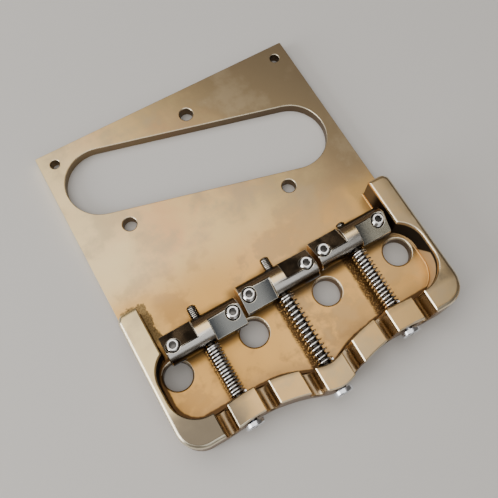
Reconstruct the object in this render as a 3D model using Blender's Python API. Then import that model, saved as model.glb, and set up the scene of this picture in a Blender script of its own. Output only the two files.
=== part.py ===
"""Guitar bridge with three barrel saddles.

A flat plate carries a U-shaped rim around the saddle pocket and a slanted pickup opening in front
of it. Each barrel saddle takes two strings. It rides on a long screw that comes through the rear
wall, it is pushed forward by a spring on that screw, and it stands on two small height screws.

Metres, +Z up. The plate's underside is z = 0. +X is the treble side and +Y points to the pickup.
Places along Y are counted from the line of the four mounting holes and moved by MOUNT_LINE_Y,
which puts the middle of the whole bridge at the origin.
"""

import math

import bmesh
import bpy
from mathutils import Matrix, Vector

# Free space between two pieces that touch on the real bridge.
CLEARANCE = 0.0003

# Strings, and what they set: each saddle carries two of the six.
STRING_PITCH = 0.01075
SADDLE_PITCH = 2 * STRING_PITCH
SADDLE_NAMES = ("bass", "middle", "treble")
SADDLE_COUNT = len(SADDLE_NAMES)
STRING_COUNT = 2 * SADDLE_COUNT

# Plate.
PLATE_THICKNESS = 0.0030
FRONT_REACH = 0.0699
FRONT_CORNER_ROUND = 0.0005

# Rim: two side walls and the rear wall.
RIM_HEIGHT = 0.0084
SIDE_WALL = 0.0054
SIDE_WALL_REACH = 0.0179
POCKET_MARGIN = 0.0006
REAR_WALL = 0.00605
OUTER_TOP_ROUND = 0.0012
INNER_TOP_ROUND = 0.0005

# Rear wall's line: flat, with a bulge in the middle and a shallow dip either side.
REAR_LINE = 0.01835
BULGE_DEPTH = 0.0038
BULGE_SPREAD = 0.0076
WAVE_DEPTH = 0.0003
WAVE_CREST_X = 0.0190
WAVE_HALF_LENGTH = 0.0100
OUTER_CORNER_RADIUS = 0.0060

# Pocket's rear corners swell into the side walls around the outer mounting holes.
CORNER_SWELL = 0.00365
CORNER_RADIUS = 0.0072
CORNER_STRAIGHT = 0.0041

# Holes in the plate.
MOUNT_HOLE_COUNT = 4
MOUNT_HOLE_PITCH = 0.0212
MOUNT_HOLE_RADIUS = 0.0036
MOUNT_HOLE_CHAMFER = 0.0005
CORNER_HOLE_RADIUS = 0.0013
CORNER_HOLE_INSET_X = 0.0041
CORNER_HOLE_INSET_Y = 0.00395
CORNER_HOLE_CHAMFER = 0.0002

# Pickup opening and the three holes for its height screws.
PICKUP_CENTRE_Y = 0.0488
PICKUP_SLANT = math.radians(-14.94)
PICKUP_END_SPREAD = 0.02622
PICKUP_RADIUS = 0.0097
PICKUP_CHAMFER = 0.0002
PICKUP_SCREW_RADIUS = 0.00185
PICKUP_SCREW_CHAMFER = 0.0003
PICKUP_SCREW_SPREAD = 0.0215
PICKUP_SCREW_BEHIND = 0.01405
PICKUP_SCREW_AHEAD = 0.0139

# String slots through the rear wall.
STRING_SLOT_WIDTH = 0.00343
STRING_SLOT_FLOOR = 0.0006
STRING_SLOT_CHAMFER = 0.00025

# Saddles.
SADDLE_RADIUS = 0.00385
SADDLE_FLOOR_GAP = 0.00035
SADDLE_END_GAP = 0.0010
SADDLE_END_CHAMFER = 0.0002
SADDLE_PLACES_Y = (0.00555, 0.00737, 0.0082)
FACET_TILT = math.radians(29)
FACET_OFFSET = 0.0026
FACET_MIDDLE = 0.0038
# Which way each saddle's bass half faces. Its treble half faces the other way.
BASS_HALF_FACES = (1, -1, 1)

# Height screws, two in each saddle.
HEIGHT_SCREW_RADIUS = 0.0015
HEIGHT_SCREW_INSET = 0.00225
HEIGHT_SCREW_EDGE = 0.0003
HEIGHT_SCREW_POINT = 0.0006
HEX_ACROSS_FLATS = 0.0015
HEX_DEPTH = 0.0018

# Intonation screws, one through each saddle.
INTONATION_RADIUS = 0.0013
INTONATION_LENGTHS = (0.0312, 0.0368, 0.0315)
INTONATION_TIP = 0.0004
INTONATION_TILT_PLAY = 0.00045
HEAD_RADIUS = 0.00245
HEAD_THICKNESS = 0.0012
HEAD_ROUND = 0.0004
CROSS_LENGTH = 0.0026
CROSS_WIDTH = 0.0006
CROSS_DEPTH = 0.0007

# Intonation springs.
SPRING_WIRE = 0.00045
SPRING_MEAN_RADIUS = 0.00185
SPRING_TURNS = 14
SPRING_POINTS_PER_TURN = 8

# Facets.
ROUND_STEPS = 48
SMALL_ROUND_STEPS = 24
ARC_STEPS = 8
ROUNDING_STEPS = 3
WAVE_STEP = 0.0020
CUTTER_REACH = 0.0010
SHARP_ANGLE = math.radians(30)

# What follows from the sizes above.
PLATE_TOP = PLATE_THICKNESS
RIM_TOP = PLATE_TOP + RIM_HEIGHT
POCKET_HALF_WIDTH = SADDLE_COUNT * STRING_PITCH + POCKET_MARGIN
HALF_WIDTH = POCKET_HALF_WIDTH + SIDE_WALL
AXIS_Z = PLATE_TOP + SADDLE_FLOOR_GAP + SADDLE_RADIUS
SADDLE_LENGTH = SADDLE_PITCH - SADDLE_END_GAP
HEIGHT_SCREW_OFFSET = SADDLE_LENGTH / 2 - HEIGHT_SCREW_INSET
HEIGHT_SCREW_LENGTH = 2 * SADDLE_RADIUS
REAR_REACH = REAR_LINE + BULGE_DEPTH + CLEARANCE + HEAD_THICKNESS
MOUNT_LINE_Y = (REAR_REACH - FRONT_REACH) / 2


def along_y(place):
    """Y of a place counted from the line of the mounting holes."""
    return MOUNT_LINE_Y + place


def rear_face_y(x):
    """Y of the rear wall's outer face, with its bulge and its two shallow waves."""
    bulge = math.exp(-((x / BULGE_SPREAD) ** 2))
    phase = min((abs(x) - WAVE_CREST_X) / WAVE_HALF_LENGTH, 1.0)
    wave = (1 - bulge) * math.cos(math.pi * phase)
    return along_y(-REAR_LINE - BULGE_DEPTH * bulge + WAVE_DEPTH * wave)


def pocket_rear_y(x):
    """Y of the rear wall's inner face."""
    return rear_face_y(x) + REAR_WALL


def saddle_x(index):
    return (index - (SADDLE_COUNT - 1) / 2) * SADDLE_PITCH


def across(middle, half_width):
    """Five places across a width, to find where a wavy wall comes nearest."""
    return [middle + half_width * share for share in (-1.0, -0.5, 0.0, 0.5, 1.0)]


def head_seat_y(index):
    """Underside of an intonation screw's head, just behind the rear wall."""
    return min(rear_face_y(x) for x in across(saddle_x(index), HEAD_RADIUS)) - CLEARANCE


def spring_seat_y(index):
    """Rear end of a spring, just in front of the rear wall."""
    reach = SPRING_MEAN_RADIUS + SPRING_WIRE / 2
    return max(pocket_rear_y(x) for x in across(saddle_x(index), reach)) + CLEARANCE


def arc(centre_x, centre_y, radius, start, end, steps):
    """Points on an arc from one angle to another, both ends included."""
    angles = [start + (end - start) * i / steps for i in range(steps + 1)]
    return [(centre_x + radius * math.cos(a), centre_y + radius * math.sin(a)) for a in angles]


def steel(name, colour, roughness):
    material = bpy.data.materials.new(name)
    material.use_nodes = True
    shader = material.node_tree.nodes["Principled BSDF"]
    shader.inputs["Base Color"].default_value = (*colour, 1.0)
    shader.inputs["Roughness"].default_value = roughness
    shader.inputs["Metallic"].default_value = 1.0
    return material


def add_object(name, bm, material, location=(0, 0, 0)):
    """Turn a bmesh built around a location into a named object placed there."""
    bmesh.ops.recalc_face_normals(bm, faces=bm.faces)
    mesh = bpy.data.meshes.new(name)
    bm.to_mesh(mesh)
    bm.free()
    mesh.shade_smooth()
    mesh.set_sharp_from_angle(angle=SHARP_ANGLE)
    mesh.materials.append(material)
    part = bpy.data.objects.new(name, mesh)
    part.location = location
    bpy.context.collection.objects.link(part)
    return part


def cut(part, name, bm):
    """Cut the bodies in a bmesh out of a part. They are placed like the part itself."""
    bmesh.ops.recalc_face_normals(bm, faces=bm.faces)
    mesh = bpy.data.meshes.new(name)
    bm.to_mesh(mesh)
    bm.free()
    cutter = bpy.data.objects.new(name, mesh)
    cutter.location = part.location
    cutter.hide_render = True
    cutter.display_type = "WIRE"
    bpy.context.collection.objects.link(cutter)
    boolean = part.modifiers.new(name, "BOOLEAN")
    boolean.operation = "DIFFERENCE"
    boolean.solver = "EXACT"
    boolean.object = cutter


def turn(bm, profile, steps, place=Matrix()):
    """Spin a profile of (radius, height) points, axis to axis, about Z into a closed body."""
    corners = [bm.verts.new((radius, 0, height)) for radius, height in profile]
    edges = [bm.edges.new(pair) for pair in zip(corners, corners[1:])]
    before = set(bm.verts) - set(corners)
    bmesh.ops.spin(
        bm, geom=corners + edges, cent=(0, 0, 0), axis=(0, 0, 1), angle=2 * math.pi,
        steps=steps, use_merge=True,
    )
    body = [vert for vert in bm.verts if vert not in before]
    bmesh.ops.remove_doubles(bm, verts=body, dist=1e-7)
    body = [vert for vert in bm.verts if vert not in before]
    bmesh.ops.transform(bm, matrix=place, verts=body)


def loft(bm, rings):
    """Closed body through rings of points that all have the same number of points."""
    loops = [[bm.verts.new(point) for point in ring] for ring in rings]
    bm.faces.new(loops[0])
    bm.faces.new(loops[-1])
    for lower, upper in zip(loops, loops[1:]):
        for i in range(len(lower)):
            bm.faces.new((lower[i - 1], lower[i], upper[i], upper[i - 1]))


def hole_profile(radius, chamfer, bottom, top):
    """Round hole's cutter from under a plate to above it, wider at the top edge."""
    return (
        (0, bottom - CUTTER_REACH),
        (radius, bottom - CUTTER_REACH),
        (radius, top - chamfer),
        (radius + chamfer + CUTTER_REACH, top + CUTTER_REACH),
        (0, top + CUTTER_REACH),
    )


def mirrored(points):
    """The same path on the bass side, walked the other way."""
    return [(-x, y) for x, y in reversed(points)]


def rear_wave(limit, line):
    """Points of a wavy wall line from +limit to -limit."""
    steps = 2 * math.ceil(limit / WAVE_STEP)
    places = [limit - 2 * limit * i / steps for i in range(steps + 1)]
    return [(x, line(x)) for x in places]


def outer_path():
    """Rim's outer line, from the treble wall's front end round to the bass wall's."""
    corner_x = HALF_WIDTH - OUTER_CORNER_RADIUS
    corner_y = rear_face_y(corner_x) + OUTER_CORNER_RADIUS
    corner = arc(corner_x, corner_y, OUTER_CORNER_RADIUS, 0, -math.pi / 2, ARC_STEPS)
    treble = [(HALF_WIDTH, along_y(SIDE_WALL_REACH))] + corner[:-1]
    return treble + rear_wave(corner_x, rear_face_y) + mirrored(treble)


def inner_path():
    """Pocket's line: a straight side wall, the swelling corner, then the rear wall."""
    corner_x = POCKET_HALF_WIDTH + CORNER_SWELL - CORNER_RADIUS
    rear_y = pocket_rear_y(corner_x) + CORNER_RADIUS
    front_y = rear_y + CORNER_STRAIGHT
    cusp = math.acos((POCKET_HALF_WIDTH - corner_x) / CORNER_RADIUS)
    front = arc(corner_x, front_y, CORNER_RADIUS, cusp, 0, ARC_STEPS)
    rear = arc(corner_x, rear_y, CORNER_RADIUS, 0, -math.pi / 2, ARC_STEPS)
    treble = [(POCKET_HALF_WIDTH, along_y(SIDE_WALL_REACH))] + front + rear[:-1]
    return treble + rear_wave(corner_x, pocket_rear_y) + mirrored(treble)


def plate_blank():
    """Plate and rim as one body, with a bevel weight on each edge that is rounded."""
    bm = bmesh.new()
    outer = [bm.verts.new((x, y, 0)) for x, y in outer_path()]
    inner = [bm.verts.new((x, y, 0)) for x, y in inner_path()]
    front_y = along_y(FRONT_REACH)
    front = [bm.verts.new((x, front_y, 0)) for x in (-HALF_WIDTH, HALF_WIDTH)]
    rim = bm.faces.new(outer + inner[::-1])
    floor = bm.faces.new(inner + [outer[-1]] + front + [outer[0]])

    raised = bmesh.ops.extrude_face_region(bm, geom=[rim, floor])["geom"]
    tops = [item for item in raised if isinstance(item, bmesh.types.BMFace)]
    verts = [item for item in raised if isinstance(item, bmesh.types.BMVert)]
    bmesh.ops.translate(bm, vec=(0, 0, PLATE_TOP), verts=verts)
    rim_top = max(tops, key=lambda face: len(face.verts))

    raised = bmesh.ops.extrude_face_region(bm, geom=[rim_top])["geom"]
    verts = [item for item in raised if isinstance(item, bmesh.types.BMVert)]
    bmesh.ops.translate(bm, vec=(0, 0, RIM_HEIGHT), verts=verts)
    bmesh.ops.delete(bm, geom=[rim_top], context="FACES_ONLY")
    bmesh.ops.recalc_face_normals(bm, faces=bm.faces)

    inner_points = {(round(x, 7), round(y, 7)) for x, y in inner_path()}
    weight = bm.edges.layers.float.new("bevel_weight_edge")
    for edge in bm.edges:
        heights = sorted(vert.co.z for vert in edge.verts)
        on_pocket = all((round(v.co.x, 7), round(v.co.y, 7)) in inner_points for v in edge.verts)
        if heights[0] > PLATE_TOP + RIM_HEIGHT / 2:
            rounding = INNER_TOP_ROUND if on_pocket else OUTER_TOP_ROUND
        elif heights[1] - heights[0] > PLATE_TOP / 2 and edge.verts[0].co.y > front_y - 1e-7:
            rounding = FRONT_CORNER_ROUND
        else:
            rounding = 0
        edge[weight] = rounding / OUTER_TOP_ROUND
    return bm


def string_slots():
    """U-shaped cutters along Y, one for each string, flared at the top of the wall."""
    bm = bmesh.new()
    half = STRING_SLOT_WIDTH / 2
    centre_z = PLATE_TOP + STRING_SLOT_FLOOR + half
    flare = half + STRING_SLOT_CHAMFER + CUTTER_REACH
    rear_y = along_y(-REAR_LINE - BULGE_DEPTH) - CUTTER_REACH
    front_y = along_y(-REAR_LINE + REAR_WALL + WAVE_DEPTH) + CUTTER_REACH
    section = [(-flare, RIM_TOP + CUTTER_REACH), (-half, RIM_TOP - STRING_SLOT_CHAMFER)]
    section += arc(0, centre_z, half, math.pi, 2 * math.pi, ARC_STEPS)
    section += [(half, RIM_TOP - STRING_SLOT_CHAMFER), (flare, RIM_TOP + CUTTER_REACH)]
    for string in range(STRING_COUNT):
        middle = (string - (STRING_COUNT - 1) / 2) * STRING_PITCH
        loft(bm, [[(middle + x, y, z) for x, z in section] for y in (rear_y, front_y)])
    return bm


def screw_passages():
    """Round cutters along Y that let the intonation screws through the rear wall."""
    bm = bmesh.new()
    radius = INTONATION_RADIUS + INTONATION_TILT_PLAY
    for index in range(SADDLE_COUNT):
        rear_y = head_seat_y(index) - CUTTER_REACH
        front_y = spring_seat_y(index) + CUTTER_REACH
        place = Matrix.Translation((saddle_x(index), rear_y, AXIS_Z))
        place @= Matrix.Rotation(-math.pi / 2, 4, "X")
        length = front_y - rear_y
        turn(bm, ((0, 0), (radius, 0), (radius, length), (0, length)), SMALL_ROUND_STEPS, place)
    return bm


def plate_holes():
    """Cutters for the mounting, corner and pickup screw holes."""
    bm = bmesh.new()
    mount = hole_profile(MOUNT_HOLE_RADIUS, MOUNT_HOLE_CHAMFER, 0, PLATE_TOP)
    for hole in range(MOUNT_HOLE_COUNT):
        x = (hole - (MOUNT_HOLE_COUNT - 1) / 2) * MOUNT_HOLE_PITCH
        turn(bm, mount, ROUND_STEPS, Matrix.Translation((x, along_y(0), 0)))
    corner = hole_profile(CORNER_HOLE_RADIUS, CORNER_HOLE_CHAMFER, 0, PLATE_TOP)
    corner_y = along_y(FRONT_REACH - CORNER_HOLE_INSET_Y)
    for side in (-1, 1):
        x = side * (HALF_WIDTH - CORNER_HOLE_INSET_X)
        turn(bm, corner, SMALL_ROUND_STEPS, Matrix.Translation((x, corner_y, 0)))
    slanted = Matrix.Translation((0, along_y(PICKUP_CENTRE_Y), 0))
    slanted @= Matrix.Rotation(PICKUP_SLANT, 4, "Z")
    pickup = hole_profile(PICKUP_SCREW_RADIUS, PICKUP_SCREW_CHAMFER, 0, PLATE_TOP)
    for x, y in (
        (-PICKUP_SCREW_SPREAD, -PICKUP_SCREW_BEHIND),
        (PICKUP_SCREW_SPREAD, -PICKUP_SCREW_BEHIND),
        (0, PICKUP_SCREW_AHEAD),
    ):
        turn(bm, pickup, SMALL_ROUND_STEPS, slanted @ Matrix.Translation((x, y, 0)))
    return bm


def pickup_opening():
    """Slanted cutter with round ends, flared at the plate's top."""
    bm = bmesh.new()
    slanted = Matrix.Translation((0, along_y(PICKUP_CENTRE_Y), 0))
    slanted @= Matrix.Rotation(PICKUP_SLANT, 4, "Z")
    flare = PICKUP_CHAMFER + CUTTER_REACH
    rings = []
    for radius, z in (
        (PICKUP_RADIUS, -CUTTER_REACH),
        (PICKUP_RADIUS, PLATE_TOP - PICKUP_CHAMFER),
        (PICKUP_RADIUS + flare, PLATE_TOP + CUTTER_REACH),
    ):
        quarter = math.pi / 2
        ends = arc(PICKUP_END_SPREAD, 0, radius, -quarter, quarter, 2 * ARC_STEPS)
        ends += arc(-PICKUP_END_SPREAD, 0, radius, quarter, 3 * quarter, 2 * ARC_STEPS)
        rings.append([slanted @ Vector((x, y, z)) for x, y in ends])
    loft(bm, rings)
    return bm


def make_plate(finish):
    plate = add_object("bridge_plate", plate_blank(), finish)
    rounding = plate.modifiers.new("edge_rounding", "BEVEL")
    rounding.limit_method = "WEIGHT"
    rounding.width = OUTER_TOP_ROUND
    rounding.segments = ROUNDING_STEPS
    cut(plate, "pickup_opening_cutter", pickup_opening())
    cut(plate, "plate_hole_cutters", plate_holes())
    cut(plate, "string_slot_cutters", string_slots())
    cut(plate, "screw_passage_cutters", screw_passages())


def facet_cutters(bass_half_faces):
    """Two boxes whose lower faces are the flats on a saddle's two halves."""
    bm = bmesh.new()
    size = 3 * SADDLE_RADIUS
    length = SADDLE_LENGTH / 2 - FACET_MIDDLE / 2 + CUTTER_REACH
    for side in (-1, 1):
        lean = -side * bass_half_faces * FACET_TILT
        middle = side * (FACET_MIDDLE / 2 + length / 2)
        place = Matrix.Rotation(-lean, 4, "X")
        place @= Matrix.Translation((middle, 0, FACET_OFFSET + size / 2))
        place @= Matrix.Diagonal((length, size, size, 1))
        bmesh.ops.create_cube(bm, size=1, matrix=place)
    return bm


def saddle_bores():
    """Cutters for a saddle's two height screws and its intonation screw."""
    bm = bmesh.new()
    length = 2 * SADDLE_RADIUS + 2 * CUTTER_REACH
    radius = HEIGHT_SCREW_RADIUS + CLEARANCE
    profile = ((0, -length / 2), (radius, -length / 2), (radius, length / 2), (0, length / 2))
    for side in (-1, 1):
        place = Matrix.Translation((side * HEIGHT_SCREW_OFFSET, 0, 0))
        turn(bm, profile, SMALL_ROUND_STEPS, place)
    radius = INTONATION_RADIUS + CLEARANCE
    profile = ((0, -length / 2), (radius, -length / 2), (radius, length / 2), (0, length / 2))
    turn(bm, profile, SMALL_ROUND_STEPS, Matrix.Rotation(-math.pi / 2, 4, "X"))
    return bm


def make_saddle(index, finish):
    bm = bmesh.new()
    half = SADDLE_LENGTH / 2
    edge = SADDLE_END_CHAMFER
    profile = (
        (0, -half),
        (SADDLE_RADIUS - edge, -half),
        (SADDLE_RADIUS, -half + edge),
        (SADDLE_RADIUS, half - edge),
        (SADDLE_RADIUS - edge, half),
        (0, half),
    )
    turn(bm, profile, ROUND_STEPS, Matrix.Rotation(math.pi / 2, 4, "Y"))
    place = (saddle_x(index), along_y(SADDLE_PLACES_Y[index]), AXIS_Z)
    name = "saddle_" + SADDLE_NAMES[index]
    saddle = add_object(name, bm, finish, place)
    cut(saddle, name + "_facet_cutters", facet_cutters(BASS_HALF_FACES[index]))
    cut(saddle, name + "_bore_cutters", saddle_bores())


def make_height_screw(number, finish):
    """Headless screw with a hexagon socket and a pointed foot just above the plate."""
    bm = bmesh.new()
    edge = HEIGHT_SCREW_EDGE
    profile = (
        (0, 0),
        (HEIGHT_SCREW_RADIUS - HEIGHT_SCREW_POINT, 0),
        (HEIGHT_SCREW_RADIUS, HEIGHT_SCREW_POINT),
        (HEIGHT_SCREW_RADIUS, HEIGHT_SCREW_LENGTH - edge),
        (HEIGHT_SCREW_RADIUS - edge, HEIGHT_SCREW_LENGTH),
        (0, HEIGHT_SCREW_LENGTH),
    )
    turn(bm, profile, SMALL_ROUND_STEPS)
    index, side = divmod(number - 1, 2)
    x = saddle_x(index) + (2 * side - 1) * HEIGHT_SCREW_OFFSET
    place = (x, along_y(SADDLE_PLACES_Y[index]), PLATE_TOP + CLEARANCE)
    screw = add_object(f"height_screw_{number}", bm, finish, place)

    socket = bmesh.new()
    corner = HEX_ACROSS_FLATS / math.sqrt(3)
    depth = HEX_DEPTH + CUTTER_REACH
    top = HEIGHT_SCREW_LENGTH + CUTTER_REACH
    bmesh.ops.create_cone(
        socket, cap_ends=True, segments=6, radius1=corner, radius2=corner, depth=depth,
        matrix=Matrix.Translation((0, 0, top - depth / 2)),
    )
    cut(screw, f"height_screw_{number}_socket_cutter", socket)


def make_intonation_screw(index, finish):
    """Long screw along Y with a low round head behind the rear wall. Its origin is on its axis."""
    bm = bmesh.new()
    length = INTONATION_LENGTHS[index]
    bend = arc(HEAD_RADIUS - HEAD_ROUND, HEAD_ROUND - HEAD_THICKNESS, HEAD_ROUND,
               -math.pi / 2, 0, ROUNDING_STEPS)
    profile = [(0, -HEAD_THICKNESS)]
    profile += bend
    profile += [
        (HEAD_RADIUS, 0),
        (INTONATION_RADIUS, 0),
        (INTONATION_RADIUS, length - INTONATION_TIP),
        (INTONATION_RADIUS - INTONATION_TIP, length),
        (0, length),
    ]
    turn(bm, profile, SMALL_ROUND_STEPS, Matrix.Rotation(-math.pi / 2, 4, "X"))
    name = "intonation_screw_" + SADDLE_NAMES[index]
    screw = add_object(name, bm, finish, (saddle_x(index), head_seat_y(index), AXIS_Z))

    for label, size_x, size_z in (
        ("level", CROSS_LENGTH, CROSS_WIDTH),
        ("upright", CROSS_WIDTH, CROSS_LENGTH),
    ):
        slot = bmesh.new()
        depth = CROSS_DEPTH + CUTTER_REACH
        middle = -HEAD_THICKNESS + CROSS_DEPTH - depth / 2
        place = Matrix.Translation((0, middle, 0)) @ Matrix.Diagonal((size_x, depth, size_z, 1))
        bmesh.ops.create_cube(slot, size=1, matrix=place)
        cut(screw, f"{name}_{label}_slot_cutter", slot)


def spring_points(length):
    """A helix along Y from 0 to length, its ends straight for one wire diameter."""
    count = SPRING_TURNS * SPRING_POINTS_PER_TURN
    climb = length - 2 * SPRING_WIRE
    points = [(SPRING_MEAN_RADIUS, 0, 0)]
    for i in range(count + 1):
        angle = 2 * math.pi * i / SPRING_POINTS_PER_TURN
        points.append((
            SPRING_MEAN_RADIUS * math.cos(angle),
            SPRING_WIRE + climb * i / count,
            SPRING_MEAN_RADIUS * math.sin(angle),
        ))
    points.append((SPRING_MEAN_RADIUS, length, 0))
    return points


def least_gap(points):
    """Free space between turns: nearest points half a turn or more apart, less the wire."""
    apart = SPRING_POINTS_PER_TURN // 2
    nearest = min(
        math.dist(points[i], points[j])
        for i in range(len(points))
        for j in range(i + apart, len(points))
    )
    return nearest - SPRING_WIRE


def make_spring(index, finish):
    name = "intonation_spring_" + SADDLE_NAMES[index]
    rear_y = spring_seat_y(index)
    front_y = along_y(SADDLE_PLACES_Y[index]) - SADDLE_RADIUS - CLEARANCE
    points = spring_points(front_y - rear_y)
    print(f"{name}: least gap to itself {least_gap(points) * 1000:.2f} mm")
    curve = bpy.data.curves.new(name, "CURVE")
    curve.dimensions = "3D"
    curve.bevel_depth = SPRING_WIRE / 2
    curve.bevel_resolution = 1
    curve.use_fill_caps = True
    wire = curve.splines.new("POLY")
    wire.points.add(len(points) - 1)
    for point, place in zip(wire.points, points):
        point.co = (*place, 1)
    curve.materials.append(finish)
    spring = bpy.data.objects.new(name, curve)
    spring.location = (saddle_x(index), rear_y, AXIS_Z)
    bpy.context.collection.objects.link(spring)


def main():
    for old in list(bpy.data.objects):
        bpy.data.objects.remove(old, do_unlink=True)

    aged_nickel = steel("aged_nickel", (0.52, 0.42, 0.32), 0.32)
    dark_steel = steel("dark_steel", (0.20, 0.18, 0.17), 0.22)
    bright_steel = steel("bright_steel", (0.68, 0.66, 0.63), 0.25)

    make_plate(aged_nickel)
    for index in range(SADDLE_COUNT):
        make_saddle(index, dark_steel)
        make_intonation_screw(index, bright_steel)
        make_spring(index, bright_steel)
    for number in range(1, 2 * SADDLE_COUNT + 1):
        make_height_screw(number, bright_steel)


main()
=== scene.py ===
import math

import bmesh
import bpy
from mathutils import Euler, Matrix, Vector


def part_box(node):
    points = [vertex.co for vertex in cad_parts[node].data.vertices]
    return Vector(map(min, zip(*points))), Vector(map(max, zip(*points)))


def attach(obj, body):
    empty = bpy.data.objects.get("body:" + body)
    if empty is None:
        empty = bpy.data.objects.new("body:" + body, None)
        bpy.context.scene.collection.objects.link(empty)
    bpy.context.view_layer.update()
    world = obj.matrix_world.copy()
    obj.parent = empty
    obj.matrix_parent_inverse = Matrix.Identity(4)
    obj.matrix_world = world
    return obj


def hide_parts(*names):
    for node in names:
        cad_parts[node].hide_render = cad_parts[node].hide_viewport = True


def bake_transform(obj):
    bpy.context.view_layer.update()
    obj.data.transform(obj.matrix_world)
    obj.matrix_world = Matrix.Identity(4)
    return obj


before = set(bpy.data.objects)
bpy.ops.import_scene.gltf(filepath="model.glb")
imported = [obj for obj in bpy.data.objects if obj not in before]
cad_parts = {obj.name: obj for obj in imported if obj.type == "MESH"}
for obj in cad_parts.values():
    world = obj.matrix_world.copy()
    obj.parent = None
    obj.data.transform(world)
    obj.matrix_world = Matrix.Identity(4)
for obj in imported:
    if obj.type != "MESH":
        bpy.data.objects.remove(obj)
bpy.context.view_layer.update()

# View and light. The camera looks down on the bridge from behind its bass corner, as the photograph
# does, over a plain pale floor. A wide weak panel overhead lights what faces up, a window to the left
# draws the bright lines on edges and wire, and a dim panel behind shows in the saddles' rear flats.
FLOOR_COLOUR = (0.76, 0.74, 0.71, 1)
FLOOR_RADIUS = 1.5
FLOOR_DROP = 0.0002
CAMERA_PLACE = (-0.02989, -0.04992, 0.16015)
CAMERA_TURN_DEGREES = (19.150, -0.742, -29.896)
FOCAL_LENGTH_MM = 46.87
SENSOR_MM = 36.0

camera = bpy.data.objects.new("camera", bpy.data.cameras.new("camera"))
camera.data.sensor_width = SENSOR_MM
camera.data.lens = FOCAL_LENGTH_MM
camera.data.clip_start = 0.01
camera.location = CAMERA_PLACE
camera.rotation_euler = Euler([math.radians(turn) for turn in CAMERA_TURN_DEGREES])
bpy.context.scene.collection.objects.link(camera)
bpy.context.scene.camera = camera

floor_mesh = bmesh.new()
bmesh.ops.create_circle(floor_mesh, cap_ends=True, segments=64, radius=FLOOR_RADIUS)
floor_data = bpy.data.meshes.new("floor")
floor_mesh.to_mesh(floor_data)
floor_mesh.free()
floor = bpy.data.objects.new("floor", floor_data)
bpy.context.scene.collection.objects.link(floor)
paint = bpy.data.materials.new("floor_paint")
paint.use_nodes = True
paint.node_tree.nodes["Principled BSDF"].inputs["Base Color"].default_value = FLOOR_COLOUR
paint.node_tree.nodes["Principled BSDF"].inputs["Roughness"].default_value = 0.8
floor_data.materials.append(paint)
floor.location.z = -FLOOR_DROP


def soft_lamp(name, place, size, watts, colour):
    """A square lamp that faces the middle of the bridge."""
    lamp = bpy.data.lights.new(name, "AREA")
    lamp.shape = "SQUARE"
    lamp.size = size
    lamp.energy = watts
    lamp.color = colour
    holder = bpy.data.objects.new(name, lamp)
    holder.location = place
    holder.rotation_euler = (-Vector(place)).to_track_quat("-Z", "Y").to_euler()
    bpy.context.scene.collection.objects.link(holder)


soft_lamp("ceiling_panel", (-0.22, 0.12, 0.90), 1.20, 7.4, (1.0, 0.98, 0.95))
soft_lamp("window", (-0.68, 0.02, 0.24), 0.42, 3.2, (1.0, 0.99, 0.97))
soft_lamp("rear_panel", (0.0, -0.70, 0.62), 0.60, 0.9, (0.96, 0.98, 1.0))

world = bpy.data.worlds.new("studio")
world.use_nodes = True
world.node_tree.nodes["Background"].inputs["Color"].default_value = (0.55, 0.50, 0.45, 1)
world.node_tree.nodes["Background"].inputs["Strength"].default_value = 0.22
bpy.context.scene.world = world


# Plating. The plate is nickel over brass that has aged to a warm, cloudy champagne: golden in the sheltered
# pocket, greyer on the rim that hands polish, and darkened brown along the walls' feet. Painted light, shade
# and reflections lie in its colour too, each said where it is laid.
class Wire:
    """A shader socket. Arithmetic on it adds Math nodes to its tree."""

    def __init__(self, tree, socket=None):
        self.tree = tree
        self.socket = socket

    def node(self, kind, settings, sockets, output=0):
        """Any other node, from its type, its settings and its sockets' values or links."""
        made = self.tree.nodes.new(kind)
        for name, value in settings.items():
            if name == "stops":
                for stop, (place, colour) in zip(made.color_ramp.elements, value):
                    stop.position = place
                    stop.color = colour
            else:
                setattr(made, name, value)
        for name, value in sockets.items():
            if isinstance(value, Wire):
                self.tree.links.new(value.socket, made.inputs[name])
            else:
                made.inputs[name].default_value = value
        return Wire(self.tree, made.outputs[output])

    def math(self, operation, *values):
        return self.node("ShaderNodeMath", {"operation": operation}, dict(enumerate(values)))

    def __add__(self, other):
        return self.math("ADD", self, other)

    def __radd__(self, other):
        return self.math("ADD", other, self)

    def __sub__(self, other):
        return self.math("SUBTRACT", self, other)

    def __rsub__(self, other):
        return self.math("SUBTRACT", other, self)

    def __mul__(self, other):
        return self.math("MULTIPLY", self, other)

    def __rmul__(self, other):
        return self.math("MULTIPLY", other, self)

    def __truediv__(self, other):
        return self.math("DIVIDE", self, other)

    def __pow__(self, other):
        return self.math("POWER", self, other)

    def __abs__(self):
        return self.math("ABSOLUTE", self)


def metal(name, roughness):
    """A metal material, its shader, and a wire that starts expressions in its tree."""
    material = bpy.data.materials.new(name)
    material.use_nodes = True
    shader = material.node_tree.nodes["Principled BSDF"]
    shader.inputs["Metallic"].default_value = 1.0
    shader.inputs["Roughness"].default_value = roughness
    return material, shader, Wire(material.node_tree)


def coordinates(wire):
    """The place on the object, whole and as x, y and z."""
    place = wire.node("ShaderNodeTexCoord", {}, {}, "Object")
    return place, [wire.node("ShaderNodeSeparateXYZ", {}, {0: place}, axis) for axis in "XYZ"]


def noise(wire, place, scale, detail=3.0, roughness=0.55):
    """Cloudy pattern between 0 and 1, scale in patches per metre."""
    sockets = {"Vector": place, "Scale": scale, "Detail": detail, "Roughness": roughness}
    return wire.node("ShaderNodeTexNoise", {}, sockets)


def tint(wire, amount, base, over):
    """One colour laid over another by an amount."""
    sockets = {0: amount, 6: base, 7: over}
    return wire.node("ShaderNodeMix", {"data_type": "RGBA"}, sockets, output=2)


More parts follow.
